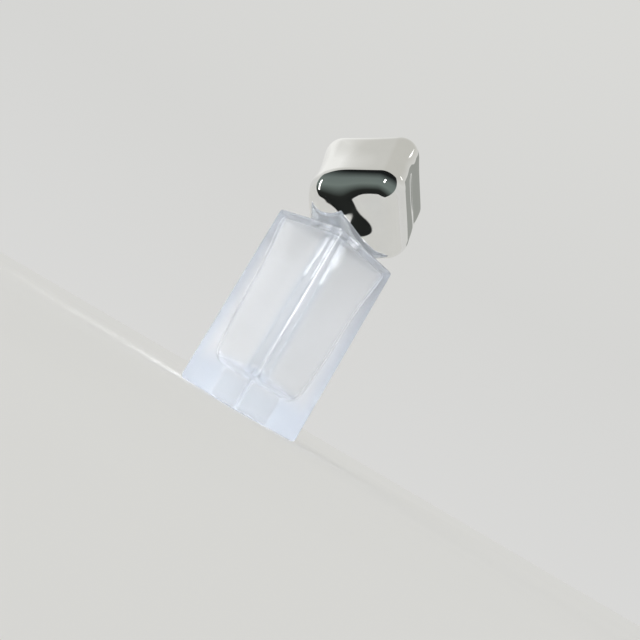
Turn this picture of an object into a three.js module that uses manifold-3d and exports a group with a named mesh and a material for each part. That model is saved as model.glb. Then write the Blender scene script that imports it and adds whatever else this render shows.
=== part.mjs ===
import * as THREE from "three";
import Module from "manifold-3d";

// Square perfume bottle with a crimped atomiser and a soft cube cap standing on one corner.
// Millimetres, +Z up along the bottle's axis, origin at the centre of its base.

// Glass body
const WIDTH = 38; // across the flats
const SHOULDER = 79.5; // height of the shoulder
const EDGE_R = 1.7; // upright edges
const TOP_FILLET = 1.4;
const BASE_FILLET = 1.5;
const FLOOR = 12.4; // thickness of the glass base
const CHAMBER_CORNER_R = 3.8;
const NECK_R = 6.7;
const BEAD_R = 7.5;
const BORE_R = 4.6;
const LIP = 7.0; // the neck's lip above the shoulder

// Cap
const CUBE_SIDE = 40.5; // between opposite faces
const CUBE_CENTRE = 22.0; // above the shoulder
const CUBE_OFFSET = [0.7, 0.7]; // of the cube's centre from the bottle's axis
const CUBE_EDGE_R = 8.9;
const CUBE_SPIN = THREE.MathUtils.degToRad(28.3); // about the axis, once it stands on its corner
const CUBE_LEAN = THREE.MathUtils.degToRad(16.5); // of its upright diagonal
const CUBE_LEAN_TO = THREE.MathUtils.degToRad(-6.0); // direction the diagonal leans to, from +X
const FOOT_R = 12.9; // round foot that the cube melts into
const FOOT_BLEND = 4.7;
const FOOT_GAP = 0.5; // above the shoulder
// Soft dents, and swellings where depth is negative, that take the hardness off the cube.
// at and spread are in the cube's own axes, in half sides, and depth is in mm.
const DENTS = [
  { at: [-1.0, -0.23, 1.0], spread: [0.45, 0.7, 0.45], depth: 5.3 },
  { at: [1.0, 0.1, 0.1], spread: [0.3, 0.25, 0.7], depth: 0.9 },
  { at: [-0.4, 1.0, 1.0], spread: [0.5, 0.4, 0.4], depth: 0.7 },
  { at: [1.0, 1.0, 1.0], spread: [0.5, 0.5, 0.5], depth: -1.1 },
  { at: [1.0, 0.0, -1.0], spread: [0.4, 0.6, 0.4], depth: 0.7 },
  { at: [1.0, -1.0, -1.0], spread: [0.5, 0.5, 0.5], depth: 0.45 },
  { at: [0.0, 0.0, 1.0], spread: [0.6, 0.6, 0.35], depth: 0.7 },
  { at: [0.0, -1.0, 0.4], spread: [0.6, 0.3, 0.4], depth: 0.45 },
  { at: [-0.31, -1.0, 0.23], spread: [0.36, 0.45, 0.45], depth: -4.6 },
  { at: [0.06, -1.0, -0.39], spread: [0.42, 0.45, 0.42], depth: -4.0 },
];

// Closures: [radius, height above the shoulder]
const SLEEVE_R = 9.0;
const SLEEVE_TOP = 12.6;
const SHELL_R = 6.4; // spray button
const SHELL_BASE = 14.1;
const SHELL_TOP = 25.8;
const NOZZLE_Z = 20.4;
const NOZZLE_R = 1.95;
const CAP_BORE_R = 10.28;
const CAP_STEP = 13.8;
const CAP_UPPER_R = 8.5;
const CAP_ROOF = 31.6;

// Pump
const STEM_R = 1.6;
const STEM_TOP = 16.9;
const CHAMBER_R = 3.4; // pump cylinder
const SPRING_SEAT = -10.8;
const VALVE_HEAD = 0.4; // underside of the stem's valve head
const SPRING_R = 2.35;
const WIRE_R = 0.25;
const SPRING_COILS = 8;
const TUBE_R = 1.5;
const TUBE_END = FLOOR + 4.5 - SHOULDER;

const ROUND = 24; // segments of a round piece
const BOTTLE_QUARTER = 12; // points along a quarter of the bottle's outline
const CAP_AROUND = 56;
const CAP_RINGS = 28;

const MATERIALS = {
  frosted_glass: { color: 0xdfe6ee, roughness: 0.4, metalness: 0.0, transparent: true, opacity: 0.45 },
  mirror_chrome: { color: 0xd2d2cf, roughness: 0.08, metalness: 1.0 },
  bright_aluminium: { color: 0xd6d7d9, roughness: 0.25, metalness: 1.0 },
  satin_aluminium: { color: 0xbfc1c4, roughness: 0.4, metalness: 1.0 },
  white_plastic: { color: 0xe9eaea, roughness: 0.45, metalness: 0.0 },
  clear_plastic: { color: 0xe6ecef, roughness: 0.2, metalness: 0.0 },
  gasket_rubber: { color: 0x8f9296, roughness: 0.8, metalness: 0.0 },
  steel: { color: 0xb9bcc0, roughness: 0.25, metalness: 1.0 },
};

const wasm = await Module();
wasm.setup();
const object = new THREE.Group();
object.name = "perfume_bottle";

function addPiece(name, material, geometry) {
  const mesh = new THREE.Mesh(geometry, new THREE.MeshStandardMaterial(MATERIALS[material]));
  mesh.name = name;
  object.add(mesh);
}

// Signed volume of an indexed geometry, to see which way its faces point.
function signedVolume(position, index) {
  const [a, b, c] = [new THREE.Vector3(), new THREE.Vector3(), new THREE.Vector3()];
  let six = 0;
  for (let i = 0; i < index.length; i += 3) {
    a.fromArray(position, 3 * index[i]);
    b.fromArray(position, 3 * index[i + 1]);
    c.fromArray(position, 3 * index[i + 2]);
    six += a.dot(b.cross(c));
  }
  return six / 6;
}

function closedGeometry(position, index) {
  if (signedVolume(position, index) < 0) {
    for (let i = 0; i < index.length; i += 3) {
      [index[i + 1], index[i + 2]] = [index[i + 2], index[i + 1]];
    }
  }
  const geometry = new THREE.BufferGeometry();
  geometry.setAttribute("position", new THREE.Float32BufferAttribute(position, 3));
  geometry.setIndex(index);
  geometry.computeVertexNormals();
  return geometry;
}

// Skins a row of rings. A ring of one point is a pole. With loop set the last ring joins the first.
function loft(rings, loop = false) {
  const position = [];
  const starts = [];
  for (const ring of rings) {
    starts.push(position.length / 3);
    for (const p of ring) position.push(p.x, p.y, p.z);
  }
  const index = [];
  const last = loop ? rings.length : rings.length - 1;
  for (let k = 0; k < last; k++) {
    const next = (k + 1) % rings.length;
    const count = Math.max(rings[k].length, rings[next].length);
    for (let i = 0; i < count; i++) {
      const j = (i + 1) % count;
      const a = starts[k] + (rings[k].length > 1 ? i : 0);
      const b = starts[k] + (rings[k].length > 1 ? j : 0);
      const c = starts[next] + (rings[next].length > 1 ? i : 0);
      const d = starts[next] + (rings[next].length > 1 ? j : 0);
      if (a !== b) index.push(a, b, d);
      if (c !== d) index.push(a, d, c);
    }
  }
  return closedGeometry(position, index);
}

function circle(r, z, count) {
  const ring = [];
  for (let i = 0; i < count; i++) {
    const turn = (2 * Math.PI * i) / count;
    ring.push(new THREE.Vector3(r * Math.cos(turn), r * Math.sin(turn), z));
  }
  return ring;
}

// A turned piece. Heights are above the shoulder. A radius of 0 closes the profile on the axis,
// and a profile that starts off the axis closes on itself.
function turned(profile, base = SHOULDER) {
  const rings = profile.map(([r, z]) =>
    r === 0 ? [new THREE.Vector3(0, 0, base + z)] : circle(r, base + z, ROUND),
  );
  return loft(rings, profile[0][0] !== 0);
}

// A square outline with rounded corners. It has as many points as a circle of 4 * quarter.
function roundedSquare(half, r, z, quarter) {
  const ring = [];
  const straight = half - r;
  const arcSteps = quarter - 4;
  for (let side = 0; side < 4; side++) {
    const points = [
      [half, 0],
      [half, straight / 2],
    ];
    for (let i = 0; i <= arcSteps; i++) {
      const turn = (Math.PI / 2) * (i / arcSteps);
      points.push([straight + r * Math.cos(turn), straight + r * Math.sin(turn)]);
    }
    points.push([straight / 2, half]);
    const turn = (side * Math.PI) / 2;
    for (const [x, y] of points) {
      ring.push(
        new THREE.Vector3(
          x * Math.cos(turn) - y * Math.sin(turn),
          x * Math.sin(turn) + y * Math.cos(turn),
          z,
        ),
      );
    }
  }
  return ring;
}

function solidOf(geometry) {
  return new wasm.Manifold(
    new wasm.Mesh({
      numProp: 3,
      vertProperties: new Float32Array(geometry.getAttribute("position").array),
      triVerts: new Uint32Array(geometry.getIndex().array),
    }),
  );
}

function geometryOf(solid) {
  const mesh = solid.getMesh();
  return closedGeometry(Array.from(mesh.vertProperties), Array.from(mesh.triVerts));
}

// A turned piece laid along -Y at the nozzle's height. Its profile's heights count outwards.
function alongNozzle(profile) {
  const geometry = turned(profile, 0);
  geometry.rotateX(Math.PI / 2);
  geometry.translate(0, 0, SHOULDER + NOZZLE_Z);
  return geometry;
}

// Glass bottle
function glassBottle() {
  const half = WIDTH / 2;
  const count = 4 * BOTTLE_QUARTER;
  const square = (h, r, z) => roundedSquare(h, r, z, BOTTLE_QUARTER);
  const rings = [[new THREE.Vector3(0, 0, 0)], circle(11, 0, count)];
  for (let i = 0; i <= 4; i++) {
    const turn = (Math.PI / 2) * (i / 4);
    const inset = BASE_FILLET * (1 - Math.sin(turn));
    rings.push(square(half - inset, EDGE_R - inset, BASE_FILLET * (1 - Math.cos(turn))));
  }
  rings.push(square(half, EDGE_R, SHOULDER * 0.35));
  rings.push(square(half, EDGE_R, SHOULDER * 0.7));
  for (let i = 0; i <= 4; i++) {
    const turn = (Math.PI / 2) * (i / 4);
    const inset = TOP_FILLET * (1 - Math.cos(turn));
    rings.push(square(half - inset, EDGE_R - inset, SHOULDER - TOP_FILLET * (1 - Math.sin(turn))));
  }
  const neck = [
    [NECK_R + 0.8, 0],
    [NECK_R + 0.2, 0.2],
    [NECK_R, 0.8],
    [NECK_R, 3.2],
    [BEAD_R - 0.3, 3.4],
    [BEAD_R, 3.8],
    [BEAD_R, 6.4],
    [BEAD_R - 0.2, 6.85],
    [BEAD_R - 0.6, LIP],
    [BORE_R + 0.3, LIP],
    [BORE_R, LIP - 0.3],
    [BORE_R, -2.2],
    [BORE_R + 0.5, -2.7],
  ];
  for (const [r, z] of neck) rings.push(circle(r, SHOULDER + z, count));
  // The chamber, from under the shoulder down to its floor: [half width, height]
  const chamber = [
    [16.2, SHOULDER - 2.7],
    [16.9, SHOULDER - 3.0],
    [17.2, SHOULDER - 3.8],
    [17.0, SHOULDER - 7],
    [16.4, SHOULDER - 12],
    [15.7, SHOULDER - 17],
    [15.0, SHOULDER - 27],
    [14.6, SHOULDER - 40],
    [13.9, FLOOR + 14],
    [13.1, FLOOR + 6.5],
    [12.3, FLOOR + 3.2],
    [11.0, FLOOR + 1.3],
    [9.2, FLOOR + 0.35],
    [7.0, FLOOR],
  ];
  for (const [h, z] of chamber) rings.push(square(h, CHAMBER_CORNER_R, z));
  rings.push([new THREE.Vector3(0, 0, FLOOR)]);
  return loft(rings);
}

// Cap
function cubeAxes() {
  const k = Math.sqrt(1 / 3);
  const standing = new THREE.Matrix4().makeBasis(
    new THREE.Vector3(Math.sqrt(2 / 3), 0, k),
    new THREE.Vector3(-Math.sqrt(1 / 6), Math.sqrt(1 / 2), k),
    new THREE.Vector3(-Math.sqrt(1 / 6), -Math.sqrt(1 / 2), k),
  );
  const leanAxis = new THREE.Vector3(-Math.sin(CUBE_LEAN_TO), Math.cos(CUBE_LEAN_TO), 0);
  return new THREE.Matrix4()
    .makeRotationAxis(leanAxis, CUBE_LEAN)
    .multiply(new THREE.Matrix4().makeRotationZ(CUBE_SPIN))
    .multiply(standing);
}
const TO_CUBE = cubeAxes().invert();

function smoothUnion(a, b, blend) {
  const h = Math.max(blend - Math.abs(a - b), 0) / blend;
  return Math.min(a, b) - (h * h * h * blend) / 6;
}

// Distance from the cap's skin, negative inside. The point is measured from the spot on the
// bottle's axis that is level with the cube's centre.
function capDistance(p) {
  const q = new THREE.Vector3(p.x - CUBE_OFFSET[0], p.y - CUBE_OFFSET[1], p.z).applyMatrix4(TO_CUBE);
  const half = CUBE_SIDE / 2;
  const inner = half - CUBE_EDGE_R;
  const over = new THREE.Vector3(
    Math.abs(q.x) - inner,
    Math.abs(q.y) - inner,
    Math.abs(q.z) - inner,
  );
  const outside = new THREE.Vector3(Math.max(over.x, 0), Math.max(over.y, 0), Math.max(over.z, 0));
  let d = outside.length() + Math.min(Math.max(over.x, over.y, over.z), 0) - CUBE_EDGE_R;
  for (const { at, spread, depth } of DENTS) {
    const far =
      ((q.x / half - at[0]) / spread[0]) ** 2 +
      ((q.y / half - at[1]) / spread[1]) ** 2 +
      ((q.z / half - at[2]) / spread[2]) ** 2;
    d += depth * Math.exp(-far);
  }
  const below = Math.max(p.z + 6, 0);
  const foot = Math.hypot(Math.hypot(p.x, p.y), below * 0.8) - FOOT_R;
  return smoothUnion(d, foot, FOOT_BLEND);
}

// The skin's distance from that spot in a direction.
function skinAlong(direction) {
  let [near, far] = [4, 40];
  for (let i = 0; i < 40; i++) {
    const mid = (near + far) / 2;
    if (capDistance(direction.clone().multiplyScalar(mid)) < 0) near = mid;
    else far = mid;
  }
  return near;
}

// The skin's radius around the axis at a height from that spot.
function skinRadius(turn, z) {
  let [near, far] = [4, 30];
  for (let i = 0; i < 40; i++) {
    const mid = (near + far) / 2;
    const p = new THREE.Vector3(mid * Math.cos(turn), mid * Math.sin(turn), z);
    if (capDistance(p) < 0) near = mid;
    else far = mid;
  }
  return near;
}

function capShell() {
  const centre = SHOULDER + CUBE_CENTRE;
  const bottom = FOOT_GAP - CUBE_CENTRE;
  const rings = [[new THREE.Vector3(0, 0, centre + skinAlong(new THREE.Vector3(0, 0, 1)))]];
  for (let k = 1; k < CAP_RINGS; k++) {
    const ring = [];
    for (let i = 0; i < CAP_AROUND; i++) {
      const turn = (2 * Math.PI * i) / CAP_AROUND;
      const rim = Math.PI - Math.atan2(skinRadius(turn, bottom), -bottom);
      const fall = (rim * k) / CAP_RINGS;
      const way = new THREE.Vector3(
        Math.sin(fall) * Math.cos(turn),
        Math.sin(fall) * Math.sin(turn),
        Math.cos(fall),
      );
      const p = way.multiplyScalar(skinAlong(way));
      ring.push(new THREE.Vector3(p.x, p.y, centre + p.z));
    }
    rings.push(ring);
  }
  const rim = [];
  for (let i = 0; i < CAP_AROUND; i++) {
    const turn = (2 * Math.PI * i) / CAP_AROUND;
    const r = skinRadius(turn, bottom);
    rim.push(new THREE.Vector3(r * Math.cos(turn), r * Math.sin(turn), centre + bottom));
  }
  rings.push(rim);
  const bore = [
    [CAP_BORE_R, FOOT_GAP],
    [CAP_BORE_R, CAP_STEP],
    [CAP_UPPER_R, CAP_STEP],
    [CAP_UPPER_R, CAP_ROOF],
  ];
  for (const [r, z] of bore) rings.push(circle(r, SHOULDER + z, CAP_AROUND));
  rings.push([new THREE.Vector3(0, 0, SHOULDER + CAP_ROOF)]);
  return loft(rings);
}

// Return spring, its end coils closed up
class SpringPath extends THREE.Curve {
  getPoint(t, target = new THREE.Vector3()) {
    const turns = SPRING_COILS * t;
    const turn = 2 * Math.PI * turns;
    const low = SPRING_SEAT + WIRE_R;
    const high = VALVE_HEAD - WIRE_R;
    const ends = 0.62;
    const middle = (high - low - 2 * ends) / (SPRING_COILS - 2);
    let z = low + ends + (turns - 1) * middle;
    if (turns < 1) z = low + ends * turns;
    if (turns > SPRING_COILS - 1) z = high - ends * (SPRING_COILS - turns);
    return target.set(SPRING_R * Math.cos(turn), SPRING_R * Math.sin(turn), SHOULDER + z);
  }
}

function spring() {
  const wire = new THREE.Shape();
  const sides = 5;
  for (let i = 0; i < sides; i++) {
    const turn = (2 * Math.PI * i) / sides;
    const [x, y] = [0.96 * WIRE_R * Math.cos(turn), 0.96 * WIRE_R * Math.sin(turn)];
    if (i === 0) wire.moveTo(x, y);
    else wire.lineTo(x, y);
  }
  wire.closePath();
  return new THREE.ExtrudeGeometry(wire, {
    extrudePath: new SpringPath(),
    steps: SPRING_COILS * 10,
    bevelEnabled: false,
    curveSegments: 1,
  });
}

addPiece("glass_bottle", "frosted_glass", glassBottle());
addPiece("cap_shell", "mirror_chrome", capShell());
addPiece("pump_spring", "steel", spring());

const TURNED = {
  neck_gasket: ["gasket_rubber", [
    [4.7, 7.0],
    [7.4, 7.0],
    [7.4, 7.8],
    [4.7, 7.8],
  ]],
  ferrule: ["satin_aluminium", [
    [3.0, 9.3],
    [7.65, 9.3],
    [7.65, 3.35],
    [6.95, 2.65],
    [7.15, 2.4],
    [7.95, 3.2],
    [7.95, 9.35],
    [7.7, 9.6],
    [3.0, 9.6],
  ]],
  turret: ["white_plastic", [
    [1.68, 5.8],
    [3.3, 5.8],
    [3.3, 8.8],
    [5.0, 8.8],
    [5.0, 9.3],
    [2.9, 9.3],
    [2.9, 9.6],
    [1.9, 9.6],
    [1.68, 9.3],
  ]],
  stem_gasket: ["gasket_rubber", [
    [1.65, 5.0],
    [3.3, 5.0],
    [3.3, 5.8],
    [1.65, 5.8],
  ]],
  pump_housing: ["white_plastic", [
    [CHAMBER_R, 8.8],
    [5.1, 8.8],
    [5.1, 9.3],
    [7.3, 9.3],
    [7.3, 7.8],
    [4.2, 7.8],
    [4.2, -11.2],
    [3.9, -12.0],
    [2.4, -14.0],
    [2.4, -19.6],
    [2.1, -20.0],
    [1.58, -20.0],
    [1.58, -13.9],
    [0.9, -13.9],
    [0.9, -12.6],
    [1.7, -11.6],
    [1.7, SPRING_SEAT],
    [CHAMBER_R, SPRING_SEAT],
  ]],
  dip_tube: ["clear_plastic", [
    [0.9, TUBE_END],
    [TUBE_R, TUBE_END],
    [TUBE_R, -14.0],
    [0.9, -14.0],
  ]],
  piston: ["clear_plastic", [
    [1.58, 1.05],
    [2.4, 1.05],
    [3.0, 1.05],
    [3.35, 1.25],
    [3.0, 1.7],
    [2.4, 2.0],
    [2.4, 2.5],
    [3.0, 2.8],
    [3.35, 3.2],
    [3.0, 3.38],
    [1.58, 3.38],
  ]],
  stem: ["white_plastic", [
    [0, VALVE_HEAD],
    [1.9, VALVE_HEAD],
    [2.0, 1.0],
    [1.5, 1.0],
    [1.5, 3.9],
    [2.5, 3.9],
    [2.5, 4.95],
    [STEM_R, 4.95],
    [STEM_R, STEM_TOP - 0.2],
    [1.45, STEM_TOP],
    [0.8, STEM_TOP],
    [0.8, 2.2],
    [0, 2.2],
  ]],
  collar_liner: ["white_plastic", [
    [8.0, 8.8],
    [8.0, 2.6],
    [7.6, 2.1],
    [7.6, 1.2],
    [7.9, 0.9],
    [8.5, 0.9],
    [8.5, 8.8],
  ]],
  collar_sleeve: ["bright_aluminium", [
    [8.55, 0.3],
    [SLEEVE_R, 0.3],
    [SLEEVE_R, SLEEVE_TOP - 0.5],
    [8.85, SLEEVE_TOP - 0.15],
    [8.5, SLEEVE_TOP],
    [6.9, SLEEVE_TOP],
    [6.9, SLEEVE_TOP - 0.5],
    [8.55, SLEEVE_TOP - 0.5],
  ]],
  cap_liner: ["white_plastic", [
    [0, 30.6],
    [7.0, 30.6],
    [7.2, 30.4],
    [7.2, 12.9],
    [9.08, 12.9],
    [9.08, 1.6],
    [9.4, 1.0],
    [10.2, 1.0],
    [10.2, 13.6],
    [8.4, 13.6],
    [8.4, 31.4],
    [0, 31.4],
  ]],
};
for (const [name, [material, profile]] of Object.entries(TURNED)) {
  addPiece(name, material, turned(profile));
}

const ball = new THREE.SphereGeometry(1.2, 20, 14);
ball.translate(0, 0, SHOULDER - 11.75);
addPiece("inlet_ball", "steel", ball);

// Spray button: a core with the stem's socket and the spray channel, in a bright cover
const core = solidOf(turned([
  [0, 16.95],
  [1.62, 16.95],
  [1.62, 14.7],
  [1.9, 14.4],
  [5.6, 14.4],
  [5.95, 14.8],
  [5.95, 25.1],
  [0, 25.1],
]));
const riser = solidOf(turned([
  [0, 16.5],
  [0.6, 16.5],
  [0.6, NOZZLE_Z + 0.5],
  [0, NOZZLE_Z + 0.5],
]));
const channel = solidOf(alongNozzle([
  [0, -0.5],
  [0.5, -0.5],
  [0.5, 3.6],
  [NOZZLE_R + 0.05, 3.6],
  [NOZZLE_R + 0.05, 8.0],
  [0, 8.0],
]));
addPiece("actuator_core", "white_plastic", geometryOf(core.subtract(riser).subtract(channel)));

const cover = solidOf(turned([
  [0, 25.2],
  [6.0, 25.2],
  [6.0, SHELL_BASE],
  [SHELL_R, SHELL_BASE],
  [SHELL_R, SHELL_TOP - 0.6],
  [6.2, SHELL_TOP - 0.15],
  [5.8, SHELL_TOP],
  [0, SHELL_TOP],
]));
const window = solidOf(alongNozzle([
  [0, 4.0],
  [NOZZLE_R + 0.15, 4.0],
  [NOZZLE_R + 0.15, 9.0],
  [0, 9.0],
]));
addPiece("actuator_shell", "bright_aluminium", geometryOf(cover.subtract(window)));

addPiece("nozzle_insert", "white_plastic", alongNozzle([
  [0.25, 3.7],
  [NOZZLE_R, 3.7],
  [NOZZLE_R, 6.0],
  [NOZZLE_R - 0.2, 6.2],
  [1.3, 6.2],
  [0.7, 5.8],
  [0.25, 5.8],
]));

export default object;
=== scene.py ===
"""Looks for the square perfume bottle with a mirror-finished soft cube cap."""

import math

import bpy
import numpy as np
from mathutils import Matrix, Vector


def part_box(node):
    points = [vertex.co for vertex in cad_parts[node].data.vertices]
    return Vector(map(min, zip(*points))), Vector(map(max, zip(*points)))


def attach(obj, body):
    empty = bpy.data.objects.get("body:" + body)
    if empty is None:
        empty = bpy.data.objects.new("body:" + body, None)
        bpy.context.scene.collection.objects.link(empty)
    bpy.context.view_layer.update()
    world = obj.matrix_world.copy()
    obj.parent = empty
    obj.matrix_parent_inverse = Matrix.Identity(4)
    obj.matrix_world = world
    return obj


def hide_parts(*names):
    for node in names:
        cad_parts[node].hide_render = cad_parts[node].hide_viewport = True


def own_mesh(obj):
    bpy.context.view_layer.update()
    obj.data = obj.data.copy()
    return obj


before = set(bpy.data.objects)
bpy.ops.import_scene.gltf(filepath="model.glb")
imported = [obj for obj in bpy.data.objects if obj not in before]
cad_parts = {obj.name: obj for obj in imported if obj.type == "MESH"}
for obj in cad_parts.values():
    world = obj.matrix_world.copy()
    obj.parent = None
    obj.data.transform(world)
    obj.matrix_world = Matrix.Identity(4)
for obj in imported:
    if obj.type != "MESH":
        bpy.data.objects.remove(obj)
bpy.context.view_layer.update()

MM = 0.001

# Sizes in millimetres, the same as in the CAD model
glass_low, glass_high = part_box("glass_bottle")
NECK_LIP = 7.0
WIDTH = (glass_high[0] - glass_low[0]) / MM
SHOULDER = glass_high[2] / MM - NECK_LIP
EDGE_R = 1.7
TOP_FILLET = 1.4
BASE_FILLET = 1.5
FLOOR = 12.4
CEILING = 2.7
CHAMBER_CORNER_R = 3.8
NECK_R = 6.7
BEAD_R = 7.5
BORE_R = 4.6

CUBE_SIDE = 40.5
CUBE_CENTRE = 22.0
CUBE_OFFSET = (0.7, 0.7)
CUBE_EDGE_R = 8.9
CUBE_SPIN = math.radians(28.3)
CUBE_LEAN = math.radians(16.5)
CUBE_LEAN_TO = math.radians(-6.0)
FOOT_R = 12.9
FOOT_BLEND = 4.7
FOOT_GAP = 0.5
RIM_EDGE_R = 0.35
# Soft dents and, where depth is negative, swellings: (at, spread, depth in mm)
DENTS = [
    ((-1.0, -0.23, 1.0), (0.45, 0.7, 0.45), 5.3),
    ((1.0, 0.1, 0.1), (0.3, 0.25, 0.7), 0.9),
    ((-0.4, 1.0, 1.0), (0.5, 0.4, 0.4), 0.7),
    ((1.0, 1.0, 1.0), (0.5, 0.5, 0.5), -1.1),
    ((1.0, 0.0, -1.0), (0.4, 0.6, 0.4), 0.7),
    ((1.0, -1.0, -1.0), (0.5, 0.5, 0.5), 0.45),
    ((0.0, 0.0, 1.0), (0.6, 0.6, 0.35), 0.7),
    ((0.0, -1.0, 0.4), (0.6, 0.3, 0.4), 0.45),
    ((-0.31, -1.0, 0.23), (0.36, 0.45, 0.45), -4.6),
    ((0.06, -1.0, -0.39), (0.42, 0.45, 0.42), -4.0),
]
CAP_BORE_R = 10.28
CAP_STEP = 13.8
CAP_UPPER_R = 8.5
CAP_ROOF = 31.6
NOZZLE_Z = 20.4
NOZZLE_R = 1.95
SPRING_SEAT = -10.8
VALVE_HEAD = 0.4
BALL_R = 1.2
BALL_Z = -11.75

# Camera, in metres, rolled so that the upright bottle leans in the picture
EYE = Vector((0.2490, -0.2341, 0.0070))
FORWARD = Vector((-0.70222, 0.70200, 0.11868)).normalized()
RIGHT = Vector((0.65243, 0.56777, 0.50196)).normalized()
LENS = 47.8

# Studio. Its pieces stand round the cap's or the bottle's middle, and their angles are
# counted from the side that the camera is on.
CAP_MIDDLE = Vector((0, 0, (SHOULDER + CUBE_CENTRE) * MM))
BOTTLE_MIDDLE = Vector((0, 0, SHOULDER * MM / 2))
CAMERA_TURN = -43.2
# In mm. The table stays clear of the base, so that they never share a plane.
FLOOR_GAP = 0.3
EDGE_LIGHT_AT = (0.300, 0.0, 0.100)
EDGE_LIGHT_TO = (0, 0, 0.045)
# What the cap mirrors: (share of the height, colour)
DIM_ROOM = [
    (0.0, (0.012, 0.013, 0.013)),
    (0.16, (0.02, 0.022, 0.02)),
    (0.40, (0.17, 0.205, 0.19)),
    (0.62, (0.15, 0.18, 0.17)),
    (0.86, (0.012, 0.014, 0.014)),
    (1.0, (0.01, 0.01, 0.01)),
]
BRIGHT_WALL = [(0.0, (0.95, 0.95, 0.93)), (1.0, (0.90, 0.90, 0.88))]
# The even light, from straight down to straight up
SKY = [
    (0.0, (0.70, 0.70, 0.69)),
    (0.5, (0.69, 0.69, 0.68)),
    (0.62, (0.67, 0.67, 0.655)),
    (0.8, (0.70, 0.70, 0.68)),
    (0.95, (0.58, 0.575, 0.54)),
]


# ---------------------------------------------------------------- meshes


def mesh_object(name, vertices, faces, materials, face_slots=None, sharp=32.0, weighted=False):
    """A smooth-shaded object from vertices in millimetres."""
    mesh = bpy.data.meshes.new(name)
    mesh.from_pydata([tuple(v) for v in np.asarray(vertices) * MM], [], faces)
    mesh.validate()
    for material in materials:
        mesh.materials.append(material)
    if face_slots is not None:
        mesh.polygons.foreach_set("material_index", face_slots)
    mesh.shade_smooth()
    mesh.set_sharp_from_angle(angle=math.radians(sharp))
    obj = bpy.data.objects.new(name, mesh)
    bpy.context.scene.collection.objects.link(obj)
    if weighted:
        modifier = obj.modifiers.new("flat_faces", "WEIGHTED_NORMAL")
        modifier.keep_sharp = True
    return obj


def loft(rings, loop=False):
    """Vertices and faces of a skin over rings. A ring of one point is a pole."""
    vertices, faces, starts = [], [], []
    for ring in rings:
        starts.append(len(vertices))
        vertices.extend(ring)
    last = len(rings) if loop else len(rings) - 1
    for k in range(last):
        n = (k + 1) % len(rings)
        one, two = len(rings[k]) > 1, len(rings[n]) > 1
        count = max(len(rings[k]), len(rings[n]))
        for i in range(count):
            j = (i + 1) % count
            a, b = starts[k] + i * one, starts[k] + j * one
            c, d = starts[n] + i * two, starts[n] + j * two
            if one and two:
                faces.append((a, b, d, c))
            elif one:
                faces.append((a, b, c))
            else:
                faces.append((a, d, c))
    vertices = np.array(vertices, float)
    if signed_volume(vertices, faces) < 0:
        faces = [tuple(reversed(f)) for f in faces]
    return vertices, faces


def signed_volume(vertices, faces):
    total = 0.0
    for f in faces:
        for i in range(1, len(f) - 1):
            a, b, c = vertices[f[0]], vertices[f[i]], vertices[f[i + 1]]
            total += np.dot(a, np.cross(b, c))
    return total / 6


def circle(r, z, count):
    turn = 2 * np.pi * np.arange(count) / count
    return np.stack([r * np.cos(turn), r * np.sin(turn), np.full(count, z)], 1)


def pole(z):
    return np.array([[0.0, 0.0, z]])


def soften(profile, radius, closed, steps=4):
    """Rounds a profile's corners."""
    points = [np.array(p, float) for p in profile]
    out = []
    for i, p in enumerate(points):
        if not closed and i in (0, len(points) - 1):
            out.append(tuple(p))
            continue
        before, after = points[i - 1], points[(i + 1) % len(points)]
        to_a, to_b = before - p, after - p
        len_a, len_b = np.linalg.norm(to_a), np.linalg.norm(to_b)
        cos_turn = np.dot(to_a, to_b) / (len_a * len_b)
        if cos_turn < -0.97:
            out.append(tuple(p))
            continue
        half = math.acos(max(-1.0, min(1.0, cos_turn))) / 2
        cut = min(radius / math.tan(half), 0.42 * len_a, 0.42 * len_b)
        start, end = p + to_a / len_a * cut, p + to_b / len_b * cut
        for s in range(steps + 1):
            t = s / steps
            out.append(tuple((1 - t) ** 2 * start + 2 * t * (1 - t) * p + t**2 * end))
    return out


def turned(name, profile, materials, base=None, radius=0.12, count=96, sharp=40.0):
    """A turned piece. A profile that starts off the axis closes on itself."""
    base = SHOULDER if base is None else base
    closed = profile[0][0] != 0
    rings = []
    for r, z in soften(profile, radius, closed):
        rings.append(pole(base + z) if r == 0 else circle(r, base + z, count))
    vertices, faces = loft(rings, closed)
    return mesh_object(name, vertices, faces, materials, sharp=sharp)


def rounded_square(half, r, z, arc_steps=12):
    """An outline of 4 * (arc_steps + 4) points."""
    straight = half - r
    edge = min(0.4, straight / 4)
    points = [(half, 0.0), (half, straight / 2), (half, straight - edge)]
    for i in range(arc_steps + 1):
        turn = (math.pi / 2) * i / arc_steps
        points.append((straight + r * math.cos(turn), straight + r * math.sin(turn)))
    points += [(straight - edge, half), (straight / 2, half)]
    ring = []
    for c, s in ((1, 0), (0, 1), (-1, 0), (0, -1)):
        ring += [(x * c - y * s, x * s + y * c, z) for x, y in points]
    return np.array(ring, float)


def smooth_heights(rows, per_gap):
    """Catmull-Rom through (half width, height) rows."""
    rows = [np.array(r, float) for r in rows]
    out = []
    for i in range(len(rows) - 1):
        p0, p1, p2 = rows[max(i - 1, 0)], rows[i], rows[i + 1]
        p3 = rows[min(i + 2, len(rows) - 1)]
        for s in range(per_gap):
            t = s / per_gap
            out.append(
                0.5
                * (
                    2 * p1
                    + (p2 - p0) * t
                    + (2 * p0 - 5 * p1 + 4 * p2 - p3) * t**2
                    + (3 * p1 - p0 - 3 * p2 + p3) * t**3
                )
            )
    out.append(rows[-1])
    return out


# ---------------------------------------------------------------- materials


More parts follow.
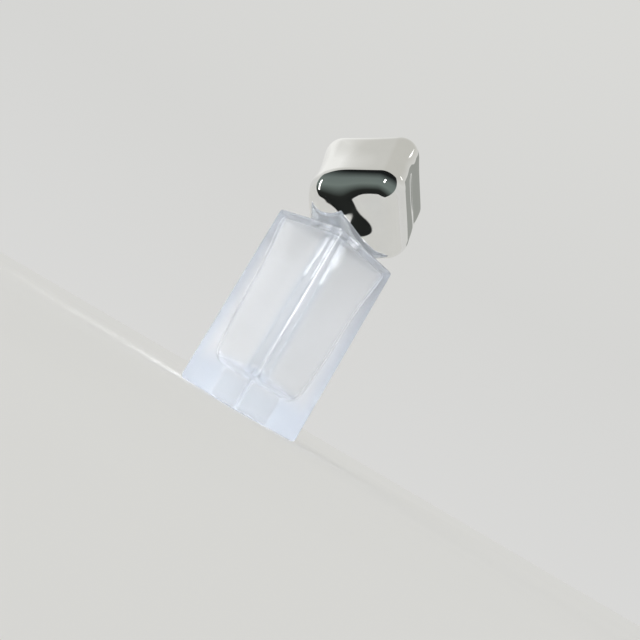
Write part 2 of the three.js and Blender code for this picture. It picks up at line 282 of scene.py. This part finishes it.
class Nodes:
    """Short names for building a node tree."""

    def __init__(self, name):
        self.material = bpy.data.materials.new(name)
        self.material.use_nodes = True
        self.tree = self.material.node_tree
        self.shader = self.tree.nodes["Principled BSDF"]
        self.place = self.add("ShaderNodeTexCoord").outputs["Object"]

    def add(self, kind, **values):
        node = self.tree.nodes.new(kind)
        for key, value in values.items():
            setattr(node, key, value)
        return node

    def link(self, a, b):
        self.tree.links.new(a, b)

    def noise(self, scale, detail=3.0, roughness=0.5, stretch=(1, 1, 1)):
        """Noise over the object's own place, scale in cycles per metre."""
        mapping = self.add("ShaderNodeMapping")
        mapping.inputs["Scale"].default_value = stretch
        self.link(self.place, mapping.inputs["Vector"])
        node = self.add("ShaderNodeTexNoise")
        node.inputs["Scale"].default_value = scale
        node.inputs["Detail"].default_value = detail
        node.inputs["Roughness"].default_value = roughness
        self.link(mapping.outputs["Vector"], node.inputs["Vector"])
        return node.outputs["Fac"]

    def math(self, operation, a, b=None):
        """A calculation on one or two values."""
        node = self.add("ShaderNodeMath", operation=operation)
        for socket, value in zip(node.inputs, (a, b)):
            if isinstance(value, bpy.types.NodeSocket):
                self.link(value, socket)
            elif value is not None:
                socket.default_value = value
        return node.outputs["Value"]

    def ramp(self, value, low, high, start=0.3, end=0.7):
        """Maps a value between start and end to low and high."""
        node = self.add("ShaderNodeMapRange")
        node.inputs["From Min"].default_value = start
        node.inputs["From Max"].default_value = end
        node.inputs["To Min"].default_value = low
        node.inputs["To Max"].default_value = high
        self.link(value, node.inputs["Value"])
        return node.outputs["Result"]

    def colours(self, value, stops):
        """A colour ramp: stops are (position, colour)."""
        node = self.add("ShaderNodeValToRGB")
        for element, (position, colour) in zip(self.stops(node, len(stops)), stops):
            element.position = position
            element.color = (*colour, 1.0)
        self.link(value, node.inputs["Fac"])
        return node.outputs["Color"]

    @staticmethod
    def stops(node, count):
        elements = node.color_ramp.elements
        while len(elements) < count:
            elements.new(0.5)
        return list(elements)

    def bump(self, height, strength, distance):
        node = self.add("ShaderNodeBump")
        node.inputs["Strength"].default_value = strength
        node.inputs["Distance"].default_value = distance
        self.link(height, node.inputs["Height"])
        return node.outputs["Normal"]

    def set(self, **values):
        names = {
            "colour": "Base Color",
            "roughness": "Roughness",
            "metal": "Metallic",
            "normal": "Normal",
            "transmission": "Transmission Weight",
            "ior": "IOR",
            "specular": "Specular IOR Level",
        }
        for key, value in values.items():
            socket = self.shader.inputs[names[key]]
            if isinstance(value, bpy.types.NodeSocket):
                self.link(value, socket)
            else:
                socket.default_value = value
        return self.material


def solid_glass(n):
    """1 over the solid base and beside the upright edges, 0 over the hollow chamber."""
    split = n.add("ShaderNodeSeparateXYZ")
    n.link(n.place, split.inputs["Vector"])
    x, y, z = split.outputs
    # on a wall one of x and y is the half width, so their product tells the other
    across = n.math("ABSOLUTE", n.math("MULTIPLY", x, y))
    half = WIDTH / 2 * MM
    beside = n.ramp(across, 0.0, 1.0, 10.5 * MM * half, 14.0 * MM * half)
    below = n.ramp(z, 1.0, 0.0, (FLOOR - 3) * MM, (FLOOR + 4) * MM)
    above = n.ramp(z, 0.0, 1.0, (SHOULDER - 6) * MM, SHOULDER * MM)
    return n.math("MAXIMUM", beside, n.math("MAXIMUM", below, above))


def frosted_glass():
    """Satin-etched outside of the bottle: milky, with a fine etched grain.

    The solid base and the thick shoulder look bluer than the thin walls.
    """
    n = Nodes("frosted_glass")
    cloud = n.noise(60, 3)
    grain = n.noise(5200, 2, 0.6)
    stops = [(0.0, (0.915, 0.925, 0.95)), (1.0, (0.82, 0.865, 0.94))]
    return n.set(
        colour=n.colours(solid_glass(n), stops),
        roughness=n.ramp(cloud, 0.22, 0.25),
        normal=n.bump(grain, 0.03, 0.00002),
        transmission=0.73,
        ior=1.5,
    )


def clear_glass():
    """Fire-polished inside of the chamber, slightly wavy."""
    n = Nodes("clear_glass")
    wave = n.noise(140, 2, 0.4, stretch=(1, 1, 0.5))
    colour = n.colours(wave, [(0.3, (0.975, 0.985, 0.995)), (0.7, (0.985, 0.992, 1.0))])
    return n.set(
        colour=colour,
        roughness=n.ramp(wave, 0.02, 0.05),
        normal=n.bump(wave, 0.05, 0.0003),
        transmission=1.0,
        ior=1.5,
    )


def mirror_chrome():
    """Vacuum-metallised skin under clear lacquer, with faint smudges."""
    n = Nodes("mirror_chrome")
    smudge = n.noise(90, 4, 0.6)
    peel = n.noise(420, 2, 0.4)
    colour = n.colours(smudge, [(0.25, (0.865, 0.865, 0.85)), (0.75, (0.90, 0.90, 0.885))])
    return n.set(
        colour=colour,
        metal=1.0,
        roughness=n.ramp(smudge, 0.025, 0.06),
        normal=n.bump(peel, 0.04, 0.00006),
    )


def turned_metal(name, light, dark, low, high, ring_scale):
    """Aluminium with fine turning marks around the axis."""
    n = Nodes(name)
    marks = n.noise(ring_scale, 2, 0.6, stretch=(0.04, 0.04, 1.0))
    blotch = n.noise(250, 3, 0.5)
    colour = n.colours(blotch, [(0.3, dark), (0.7, light)])
    return n.set(
        colour=colour,
        metal=1.0,
        roughness=n.ramp(marks, low, high),
        normal=n.bump(marks, 0.25, 0.00002),
    )


def moulded_plastic(name, light, dark, low, high, transmission=0.0):
    """Plastic with a fine moulded skin."""
    n = Nodes(name)
    skin = n.noise(2600, 3, 0.6)
    blotch = n.noise(180, 2, 0.5)
    colour = n.colours(blotch, [(0.3, dark), (0.7, light)])
    return n.set(
        colour=colour,
        roughness=n.ramp(blotch, low, high),
        normal=n.bump(skin, 0.15, 0.00003),
        transmission=transmission,
        ior=1.49,
    )


GLASS_OUT = frosted_glass()
GLASS_IN = clear_glass()
CHROME = mirror_chrome()
BRIGHT_AL = turned_metal(
    "bright_aluminium", (0.88, 0.88, 0.89), (0.84, 0.84, 0.85), 0.10, 0.20, 5000
)
SATIN_AL = turned_metal("satin_aluminium", (0.78, 0.79, 0.80), (0.73, 0.74, 0.75), 0.28, 0.42, 3500)
STEEL = turned_metal("steel", (0.74, 0.75, 0.77), (0.68, 0.69, 0.71), 0.16, 0.28, 6000)
WHITE = moulded_plastic("white_plastic", (0.88, 0.885, 0.89), (0.85, 0.855, 0.86), 0.34, 0.45)
CLEAR = moulded_plastic("clear_plastic", (0.93, 0.95, 0.96), (0.90, 0.925, 0.94), 0.08, 0.16, 0.9)
RUBBER = moulded_plastic("gasket_rubber", (0.36, 0.37, 0.385), (0.30, 0.31, 0.325), 0.6, 0.8)


# ---------------------------------------------------------------- glass bottle


def glass_bottle():
    """One skin, up the outside to the neck's lip, down the bore and round the chamber."""
    half = WIDTH / 2
    fillet_steps = 6
    rings = [pole(0.0), rounded_square(9.0, 1.2, 0.0)]
    rings.append(rounded_square(half - BASE_FILLET - 0.5, 0.2, 0.0))
    for i in range(fillet_steps + 1):
        turn = (math.pi / 2) * i / fillet_steps
        inset = BASE_FILLET * (1 - math.sin(turn))
        height = BASE_FILLET * (1 - math.cos(turn))
        rings.append(rounded_square(half - inset, EDGE_R - inset, height))
    quarters = [SHOULDER * k / 4 for k in (1, 2, 3)]
    for z in (BASE_FILLET + 0.4, *quarters, SHOULDER - TOP_FILLET - 0.4):
        rings.append(rounded_square(half, EDGE_R, z))
    for i in range(fillet_steps + 1):
        turn = (math.pi / 2) * i / fillet_steps
        inset = TOP_FILLET * (1 - math.cos(turn))
        height = SHOULDER - TOP_FILLET * (1 - math.sin(turn))
        rings.append(rounded_square(half - inset, EDGE_R - inset, height))
    rings.append(rounded_square(half - TOP_FILLET - 0.4, EDGE_R - TOP_FILLET, SHOULDER))
    count = len(rings[1])
    neck = [
        (NECK_R + 1.0, 0.0),
        (NECK_R + 0.3, 0.15),
        (NECK_R, 0.8),
        (NECK_R, 3.2),
        (BEAD_R - 0.2, 3.45),
        (BEAD_R, 3.8),
        (BEAD_R, 6.3),
        (BEAD_R - 0.2, 6.8),
        (BEAD_R - 0.7, NECK_LIP),
        (BORE_R + 0.3, NECK_LIP),
        (BORE_R, NECK_LIP - 0.3),
    ]
    for r, z in neck:
        rings.append(circle(r, SHOULDER + z, count))
    outer_rings = len(rings)
    rings.append(circle(BORE_R, SHOULDER - 2.0, count))
    rings.append(circle(BORE_R + 0.25, SHOULDER - 2.5, count))
    rings.append(circle(BORE_R + 0.8, SHOULDER - CEILING, count))
    rings.append(circle(9.0, SHOULDER - CEILING, count))
    chamber = [
        (16.2, SHOULDER - CEILING),
        (16.9, SHOULDER - 3.0),
        (17.2, SHOULDER - 3.8),
        (17.0, SHOULDER - 7),
        (16.4, SHOULDER - 12),
        (15.7, SHOULDER - 17),
        (15.0, SHOULDER - 27),
        (14.6, SHOULDER - 40),
        (13.9, FLOOR + 14),
        (13.1, FLOOR + 6.5),
        (12.3, FLOOR + 3.2),
        (11.0, FLOOR + 1.3),
        (9.2, FLOOR + 0.35),
        (7.0, FLOOR),
    ]
    for h, z in smooth_heights(chamber, 4):
        rings.append(rounded_square(h, CHAMBER_CORNER_R, z))
    rings.append(pole(FLOOR))
    vertices, faces = loft(rings)
    # the skin is frosted as far as the bore, and clear inside
    frosted_faces = count * (outer_rings - 1)
    slots = [0] * frosted_faces + [1] * (len(faces) - frosted_faces)
    obj = mesh_object("bottle_glass", vertices, faces, [GLASS_OUT, GLASS_IN], slots, weighted=True)
    # light reaches the table through the frosted walls
    obj.visible_shadow = False
    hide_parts("glass_bottle")
    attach(obj, "bottle")


# ---------------------------------------------------------------- cap


def cube_axes():
    """Columns are the cube's axes once it is stood on a corner, spun and leant."""
    k = math.sqrt(1 / 3)
    standing = Matrix(
        (
            (math.sqrt(2 / 3), -math.sqrt(1 / 6), -math.sqrt(1 / 6)),
            (0, math.sqrt(1 / 2), -math.sqrt(1 / 2)),
            (k, k, k),
        )
    )
    lean_axis = Vector((-math.sin(CUBE_LEAN_TO), math.cos(CUBE_LEAN_TO), 0))
    lean = Matrix.Rotation(CUBE_LEAN, 3, lean_axis)
    return np.array(lean @ Matrix.Rotation(CUBE_SPIN, 3, "Z") @ standing)


AXES = cube_axes()


def cap_distance(p):
    """Distance from the cap's skin, from the spot on the axis level with the cube's centre."""
    q = (p - np.array([*CUBE_OFFSET, 0.0])) @ AXES
    half = CUBE_SIDE / 2
    over = np.abs(q) - (half - CUBE_EDGE_R)
    d = np.linalg.norm(np.maximum(over, 0), axis=-1) + np.minimum(over.max(-1), 0) - CUBE_EDGE_R
    for at, spread, depth in DENTS:
        far = (((q / half - np.array(at)) / np.array(spread)) ** 2).sum(-1)
        d = d + depth * np.exp(-far)
    below = np.maximum(p[..., 2] + 6, 0) * 0.8
    foot = np.hypot(np.hypot(p[..., 0], p[..., 1]), below) - FOOT_R
    h = np.maximum(FOOT_BLEND - np.abs(d - foot), 0) / FOOT_BLEND
    return np.minimum(d, foot) - h**3 * FOOT_BLEND / 6


def skin_search(point_at, low, high, shape):
    """Bisects for the skin's distance along many paths at once."""
    near, far = np.full(shape, float(low)), np.full(shape, float(high))
    for _ in range(44):
        mid = (near + far) / 2
        inside = cap_distance(point_at(mid)) < 0
        near, far = np.where(inside, mid, near), np.where(inside, far, mid)
    return near


def skin_radius(turn, z):
    """The skin's distance from the bottle's axis at one height."""

    def point_at(r):
        return np.stack([r * np.cos(turn), r * np.sin(turn), np.full_like(r, z)], -1)

    return skin_search(point_at, 4, 30, turn.shape)


def cap_shell(around=320, down=240, rim_steps=4):
    """One skin, from the top down to the foot's rim and up the bore inside."""
    centre = SHOULDER + CUBE_CENTRE
    rim_z = FOOT_GAP + RIM_EDGE_R - CUBE_CENTRE
    turn = 2 * np.pi * np.arange(around) / around
    rim_r = skin_radius(turn, rim_z)
    rim_fall = np.pi - np.arctan2(rim_r, -rim_z)
    rings = []
    for k in range(1, down + 1):
        fall = rim_fall * k / down
        way = np.stack([np.sin(fall) * np.cos(turn), np.sin(fall) * np.sin(turn), np.cos(fall)], -1)
        reach = skin_search(lambda r, w=way: w * r[..., None], 4, 42, turn.shape)
        rings.append(way * reach[..., None] + np.array([0, 0, centre]))
    top = skin_search(lambda r: np.stack([0 * r, 0 * r, r], -1), 4, 42, (1,))
    rings.insert(0, pole(centre + top[0]))
    skin_rings = len(rings)
    for i in range(1, rim_steps + 1):
        bend = (math.pi / 2) * i / rim_steps
        r = rim_r - RIM_EDGE_R * (1 - math.cos(bend))
        z = SHOULDER + FOOT_GAP + RIM_EDGE_R * (1 - math.sin(bend))
        rings.append(np.stack([r * np.cos(turn), r * np.sin(turn), np.full_like(turn, z)], -1))
    bore = [
        (CAP_BORE_R + 0.2, FOOT_GAP),
        (CAP_BORE_R, FOOT_GAP + 0.2),
        (CAP_BORE_R, CAP_STEP),
        (CAP_UPPER_R, CAP_STEP),
        (CAP_UPPER_R, CAP_ROOF),
    ]
    for r, z in bore:
        rings.append(circle(r, SHOULDER + z, around))
    rings.append(pole(SHOULDER + CAP_ROOF))
    vertices, faces = loft(rings)
    # the rim is chrome too, the bore is not
    chrome_faces = around * (skin_rings - 1 + rim_steps)
    slots = [0] * chrome_faces + [1] * (len(faces) - chrome_faces)
    obj = mesh_object("cap_cube", vertices, faces, [CHROME, WHITE], slots, sharp=50.0)
    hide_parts("cap_shell")
    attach(obj, "cap")


# ---------------------------------------------------------------- closures and pump

TURNED = {
    # piece: (CAD node, body, slot, material, corner radius, profile)
    "gasket_neck": ("neck_gasket", "bottle", "gasket_rubber", RUBBER, 0.15, [
        (4.7, 7.0), (7.4, 7.0), (7.4, 7.8), (4.7, 7.8),
    ]),
    "crimp_ferrule": ("ferrule", "bottle", "satin_aluminium", SATIN_AL, 0.2, [
        (3.0, 9.3), (7.65, 9.3), (7.65, 3.35), (6.95, 2.65), (7.15, 2.4),
        (7.95, 3.2), (7.95, 9.4), (7.75, 9.6), (3.0, 9.6),
    ]),
    "stem_guide": ("turret", "bottle", "white_plastic", WHITE, 0.12, [
        (1.68, 5.8), (3.3, 5.8), (3.3, 8.8), (5.0, 8.8), (5.0, 9.3),
        (2.9, 9.3), (2.9, 9.6), (1.9, 9.6), (1.68, 9.3),
    ]),
    "gasket_stem": ("stem_gasket", "bottle", "gasket_rubber", RUBBER, 0.15, [
        (1.65, 5.0), (3.3, 5.0), (3.3, 5.8), (1.65, 5.8),
    ]),
    "pump_body": ("pump_housing", "bottle", "white_plastic", WHITE, 0.2, [
        (3.4, 8.8), (5.1, 8.8), (5.1, 9.3), (7.3, 9.3), (7.3, 7.8), (4.2, 7.8),
        (4.2, -11.2), (3.9, -12.0), (2.4, -14.0), (2.4, -19.6), (2.1, -20.0),
        (1.58, -20.0), (1.58, -13.9), (0.9, -13.9), (0.9, -12.6), (1.7, -11.6),
        (1.7, SPRING_SEAT), (3.4, SPRING_SEAT),
    ]),
    "piston_seal": ("piston", "piston", "clear_plastic", CLEAR, 0.1, [
        (1.58, 1.05), (2.4, 1.05), (3.0, 1.05), (3.35, 1.25), (3.0, 1.7), (2.4, 2.0),
        (2.4, 2.5), (3.0, 2.8), (3.35, 3.2), (3.0, 3.38), (1.58, 3.38),
    ]),
    "pump_stem": ("stem", "stem", "white_plastic", WHITE, 0.12, [
        (0, VALVE_HEAD), (1.9, VALVE_HEAD), (2.0, 1.0), (1.5, 1.0), (1.5, 3.9), (2.5, 3.9),
        (2.5, 4.95), (1.6, 4.95), (1.6, 16.7), (1.45, 16.9), (0.8, 16.9), (0.8, 2.2), (0, 2.2),
    ]),
    "collar_ring": ("collar_liner", "collar", "white_plastic", WHITE, 0.12, [
        (8.0, 8.8), (8.0, 2.6), (7.6, 2.1), (7.6, 1.2), (7.9, 0.9), (8.5, 0.9), (8.5, 8.8),
    ]),
    "collar_metal": ("collar_sleeve", "collar", "bright_aluminium", BRIGHT_AL, 0.25, [
        (8.55, 0.3), (9.0, 0.3), (9.0, 12.6), (6.9, 12.6), (6.9, 12.1), (8.55, 12.1),
    ]),
    "cap_sleeve": ("cap_liner", "cap", "white_plastic", WHITE, 0.2, [
        (0, 30.6), (7.2, 30.6), (7.2, 12.9), (9.08, 12.9), (9.08, 1.6), (9.4, 1.0),
        (10.2, 1.0), (10.2, 13.6), (8.4, 13.6), (8.4, 31.4), (0, 31.4),
    ]),
}


def turned_pieces():
    for piece, (node, body, slot, material, radius, profile) in TURNED.items():
        obj = turned(piece, profile, [material], radius=radius)
        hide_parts(node)
        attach(obj, body)


def dip_tube():
    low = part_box("dip_tube")[0][2] / MM - SHOULDER
    profile = [(0.9, low), (1.5, low), (1.5, -14.0), (0.9, -14.0)]
    obj = turned("draw_tube", profile, [CLEAR], radius=0.1)
    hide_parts("dip_tube")
    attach(obj, "bottle")


def inlet_ball():
    steps = 24
    profile = [(0, BALL_Z - BALL_R)]
    for i in range(1, steps):
        turn = math.pi * i / steps
        profile.append((BALL_R * math.sin(turn), BALL_Z - BALL_R * math.cos(turn)))
    profile.append((0, BALL_Z + BALL_R))
    obj = turned("valve_ball", profile, [STEEL], radius=0.001, count=48)
    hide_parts("inlet_ball")
    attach(obj, "ball")


def pump_spring(coils=8, radius=2.35, wire=0.24, end_rise=0.62, around=10, per_turn=36):
    """A helix with a closed coil at each end."""
    low, high = SPRING_SEAT + wire, VALVE_HEAD - wire
    turns = np.linspace(0, coils, coils * per_turn + 1)
    middle = (high - low - 2 * end_rise) / (coils - 2)
    z = low + end_rise + (turns - 1) * middle
    z = np.where(turns < 1, low + end_rise * turns, z)
    z = np.where(turns > coils - 1, high - end_rise * (coils - turns), z)
    turn = 2 * np.pi * turns
    path = np.stack([radius * np.cos(turn), radius * np.sin(turn), SHOULDER + z], -1)
    tangent = np.gradient(path, axis=0)
    tangent /= np.linalg.norm(tangent, axis=1)[:, None]
    out = np.stack([np.cos(turn), np.sin(turn), 0 * turn], -1)
    out -= (out * tangent).sum(1)[:, None] * tangent
    out /= np.linalg.norm(out, axis=1)[:, None]
    side = np.cross(tangent, out)
    bend = 2 * np.pi * np.arange(around) / around
    rings = [path[:1]]
    for p, o, s in zip(path, out, side):
        rings.append(p + wire * (np.cos(bend)[:, None] * o + np.sin(bend)[:, None] * s))
    rings.append(path[-1:])
    vertices, faces = loft(rings)
    obj = mesh_object("return_spring", vertices, faces, [STEEL], sharp=60.0)
    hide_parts("pump_spring")
    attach(obj, "bottle")
    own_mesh(obj)


def cut(obj, profile, base_z, count=64):
    """Takes a turned shape, laid along -Y at a height, out of a piece."""
    tool = turned("tool", profile, [WHITE], base=0, radius=0.001, count=count)
    turn = Matrix.Translation((0, 0, base_z * MM)) @ Matrix.Rotation(math.pi / 2, 4, "X")
    tool.data.transform(turn)
    modifier = obj.modifiers.new("cut", "BOOLEAN")
    modifier.operation = "DIFFERENCE"
    modifier.solver = "EXACT"
    modifier.object = tool
    bpy.context.view_layer.update()
    evaluated = obj.evaluated_get(bpy.context.evaluated_depsgraph_get())
    mesh = bpy.data.meshes.new_from_object(evaluated)
    obj.modifiers.clear()
    obj.data = mesh
    mesh.shade_smooth()
    mesh.set_sharp_from_angle(angle=math.radians(35))
    bpy.data.objects.remove(tool)


def spray_button():
    """Core, metal cover and nozzle insert. The nozzle looks along -Y."""
    height = SHOULDER + NOZZLE_Z
    pocket_r = NOZZLE_R + 0.05
    core = turned("button_core", [
        (0, 16.95), (1.62, 16.95), (1.62, 14.7), (1.9, 14.4), (5.6, 14.4), (5.95, 14.8),
        (5.95, 25.1), (0, 25.1),
    ], [WHITE], radius=0.15)
    pocket = [(0, -0.5), (0.5, -0.5), (0.5, 3.6), (pocket_r, 3.6), (pocket_r, 8.0), (0, 8.0)]
    cut(core, pocket, height)
    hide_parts("actuator_core")
    cover = turned("button_cover", [
        (0, 25.2), (6.0, 25.2), (6.0, 14.1), (6.4, 14.1), (6.4, 25.1), (5.9, 25.8), (0, 25.8),
    ], [BRIGHT_AL], radius=0.45)
    cut(cover, [(0, 4.0), (NOZZLE_R + 0.15, 4.0), (NOZZLE_R + 0.15, 9.0), (0, 9.0)], height)
    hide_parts("actuator_shell")
    nozzle = turned("spray_insert", [
        (0.25, 3.7), (NOZZLE_R, 3.7), (NOZZLE_R, 6.0), (NOZZLE_R - 0.2, 6.2), (1.3, 6.2),
        (0.7, 5.8), (0.25, 5.8),
    ], [WHITE], base=0, radius=0.12, count=64)
    turn = Matrix.Translation((0, 0, height * MM)) @ Matrix.Rotation(math.pi / 2, 4, "X")
    nozzle.data.transform(turn)
    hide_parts("nozzle_insert")
    for piece in (core, cover, nozzle):
        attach(piece, "button")


# ---------------------------------------------------------------- studio


def emitter(name, colour, strength):
    material = bpy.data.materials.new(name)
    material.use_nodes = True
    tree = material.node_tree
    tree.nodes.clear()
    glow = tree.nodes.new("ShaderNodeEmission")
    glow.inputs["Color"].default_value = (*colour, 1.0)
    glow.inputs["Strength"].default_value = strength
    out = tree.nodes.new("ShaderNodeOutputMaterial")
    tree.links.new(glow.outputs["Emission"], out.inputs["Surface"])
    return material


def look_matrix(eye, target):
    """A matrix at eye whose -Z points at target."""
    back = (Vector(eye) - Vector(target)).normalized()
    return Matrix.Translation(eye) @ back.to_track_quat("Z", "Y").to_matrix().to_4x4()


def reflection_only(obj):
    """Adds a studio piece that shows in mirrors and nowhere else."""
    bpy.context.scene.collection.objects.link(obj)
    obj.visible_camera = False
    obj.visible_diffuse = False
    obj.visible_transmission = False
    obj.visible_shadow = False


def studio_way(around, up):
    """The direction at an angle round from the camera's side and an angle up, in degrees."""
    turn, rise = math.radians(CAMERA_TURN + around), math.radians(up)
    level = math.cos(rise)
    return Vector((math.cos(turn) * level, math.sin(turn) * level, math.sin(rise)))


def panel(name, middle, around, up, distance, size, colour, strength=1.0):
    """A glowing panel that faces the cap's or the bottle's middle."""
    w, h = size[0] / 2, size[1] / 2
    mesh = bpy.data.meshes.new(name)
    mesh.from_pydata([(-w, -h, 0), (w, -h, 0), (w, h, 0), (-w, h, 0)], [], [(0, 1, 2, 3)])
    mesh.materials.append(emitter(name, colour, strength))
    obj = bpy.data.objects.new(name, mesh)
    obj.matrix_world = look_matrix(middle + studio_way(around, up) * distance, middle)
    reflection_only(obj)
    return obj


def softbox(name, around, up, size, strength, colour=(1.0, 0.99, 0.97)):
    """A panel that only the chrome mirrors."""
    panel(name, CAP_MIDDLE, around, up, 0.125, size, colour, strength)


def glass_card(name, around, up, size, colour):
    """A panel that is seen only through the glass, as the sides of the room."""
    card = panel(name, BOTTLE_MIDDLE, around, up, 0.25, size, colour)
    card.visible_glossy = False
    card.visible_transmission = True


def curtain(name, around, up, stops, fade_width, radius=0.13, steps=32):
    """A part of the room that the cap mirrors: a patch of a sphere round the cap.

    Its outline is rounded, it fades out towards the outline, and stops colour it upwards.
    """
    vertices, faces, fade = [], [], []
    for j in range(steps + 1):
        v = 2 * j / steps - 1
        for i in range(steps + 1):
            u = 2 * i / steps - 1
            across = u * math.sqrt(1 - 0.32 * v * v)
            along = v * math.sqrt(1 - 0.32 * u * u)
            turn = (around[0] + around[1]) / 2 + across * (around[1] - around[0]) / 2
            rise = (up[0] + up[1]) / 2 + along * (up[1] - up[0]) / 2
            vertices.append(studio_way(turn, rise) * radius)
            fade.append(1 - max(abs(u), abs(v)))
    for j in range(steps):
        for i in range(steps):
            a = j * (steps + 1) + i
            faces.append((a, a + 1, a + steps + 2, a + steps + 1))
    mesh = bpy.data.meshes.new(name)
    mesh.from_pydata(vertices, [], faces)
    mesh.attributes.new("fade", "FLOAT", "POINT").data.foreach_set("value", fade)
    n = Nodes(name)
    split = n.add("ShaderNodeSeparateXYZ")
    n.link(n.add("ShaderNodeTexCoord").outputs["Generated"], split.inputs["Vector"])
    glow = n.add("ShaderNodeEmission")
    n.link(n.colours(split.outputs["Z"], stops), glow.inputs["Color"])
    mix = n.add("ShaderNodeMixShader")
    edge = n.add("ShaderNodeAttribute", attribute_name="fade")
    n.link(n.ramp(edge.outputs["Fac"], 0.0, 1.0, 0.0, fade_width), mix.inputs["Fac"])
    n.link(n.add("ShaderNodeBsdfTransparent").outputs["BSDF"], mix.inputs[1])
    n.link(glow.outputs["Emission"], mix.inputs[2])
    n.link(mix.outputs["Shader"], n.tree.nodes["Material Output"].inputs["Surface"])
    n.tree.nodes.remove(n.shader)
    mesh.materials.append(n.material)
    obj = bpy.data.objects.new(name, mesh)
    obj.location = CAP_MIDDLE
    reflection_only(obj)


def strip_light(name, eye, target, size, power, only):
    """A tall lamp that only makes a highlight on one piece."""
    data = bpy.data.lights.new(name, "AREA")
    data.shape = "RECTANGLE"
    data.size, data.size_y = size
    data.energy = power
    obj = bpy.data.objects.new(name, data)
    obj.matrix_world = look_matrix(Vector(eye), target)
    obj.visible_camera = False
    obj.visible_diffuse = False
    obj.visible_transmission = False
    bpy.context.scene.collection.objects.link(obj)
    group = bpy.data.collections.new(name)
    group.objects.link(bpy.data.objects[only])
    obj.light_linking.receiver_collection = group


def soft_sun(name, toward, strength, spread):
    """Wide, even light that makes no streak in the mirror."""
    data = bpy.data.lights.new(name, "SUN")
    data.energy = strength
    data.angle = math.radians(spread)
    obj = bpy.data.objects.new(name, data)
    obj.matrix_world = look_matrix(Vector(toward), (0, 0, 0))
    obj.visible_glossy = False
    bpy.context.scene.collection.objects.link(obj)


def pale_floor():
    """A pale round table top that runs to the horizon."""
    n = Nodes("pale_floor")
    cloud = n.noise(6, 3, 0.5)
    colour = n.colours(cloud, [(0.3, (0.715, 0.715, 0.71)), (0.7, (0.735, 0.735, 0.73))])
    n.set(colour=colour, roughness=0.9, specular=0.0)
    count, radii = 96, (100, 400, 1500, 6000)
    vertices = [pole(-FLOOR_GAP)[0]]
    for r in radii:
        vertices.extend(circle(r, -FLOOR_GAP, count))
    faces = [(0, 1 + i, 1 + (i + 1) % count) for i in range(count)]
    for k in range(len(radii) - 1):
        a = 1 + count * k
        for i in range(count):
            j = (i + 1) % count
            faces.append((a + i, a + count + i, a + count + j, a + j))
    mesh_object("floor", vertices, faces, [n.material])


def studio_world():
    """Even light from all round, a little dimmer overhead."""
    world = bpy.data.worlds.new("studio")
    bpy.context.scene.world = world
    world.use_nodes = True
    tree = world.node_tree
    back = tree.nodes["Background"]
    coord = tree.nodes.new("ShaderNodeTexCoord")
    split = tree.nodes.new("ShaderNodeSeparateXYZ")
    tree.links.new(coord.outputs["Generated"], split.inputs["Vector"])
    ramp = tree.nodes.new("ShaderNodeValToRGB")
    for element, (position, colour) in zip(Nodes.stops(ramp, len(SKY)), SKY):
        element.position = position
        element.color = (*colour, 1.0)
    lift = tree.nodes.new("ShaderNodeMapRange")
    lift.inputs["From Min"].default_value = -1.0
    tree.links.new(split.outputs["Z"], lift.inputs["Value"])
    tree.links.new(lift.outputs["Result"], ramp.inputs["Fac"])
    tree.links.new(ramp.outputs["Color"], back.inputs["Color"])
    back.inputs["Strength"].default_value = 1.0


def camera():
    data = bpy.data.cameras.new("camera")
    data.sensor_width = 36.0
    data.lens = LENS
    data.clip_start = 0.01
    data.clip_end = 100.0
    turn = Matrix((RIGHT, RIGHT.cross(FORWARD), -FORWARD)).transposed().to_4x4()
    obj = bpy.data.objects.new("camera", data)
    obj.matrix_world = Matrix.Translation(EYE) @ turn
    bpy.context.scene.collection.objects.link(obj)
    bpy.context.scene.camera = obj


def lights():
    curtain("dim_room", (-92, 47), (-56, 64), DIM_ROOM, 0.04)
    curtain("bright_wall", (-175, -98), (8, 58), BRIGHT_WALL, 0.6, radius=0.14)
    softbox("softbox_left", -70, -12, (0.012, 0.09), 4.0)
    softbox("softbox_front", -10, 14, (0.012, 0.03), 6.0)
    softbox("softbox_right", 94, 60, (0.010, 0.022), 2.0)
    softbox("doorway", 138, 28, (0.05, 0.09), 1.0, colour=(0.33, 0.34, 0.32))
    glass_card("room_dark", -130, -8, (0.20, 0.24), (0.05, 0.055, 0.07))
    glass_card("room_right", 82, 0, (0.16, 0.20), (0.38, 0.42, 0.48))
    glass_card("room_left", -90, -16, (0.16, 0.24), (0.72, 0.77, 0.86))
    strip_light("edge_light", EDGE_LIGHT_AT, EDGE_LIGHT_TO, (0.03, 0.10), 0.9, "bottle_glass")
    soft_sun("key", (0.35, -0.9, 0.8), 1.4, 60)


glass_bottle()
cap_shell()
turned_pieces()
dip_tube()
inlet_ball()
pump_spring()
spray_button()

studio_world()
pale_floor()
camera()
lights()
bpy.context.scene.view_settings.view_transform = "Standard"
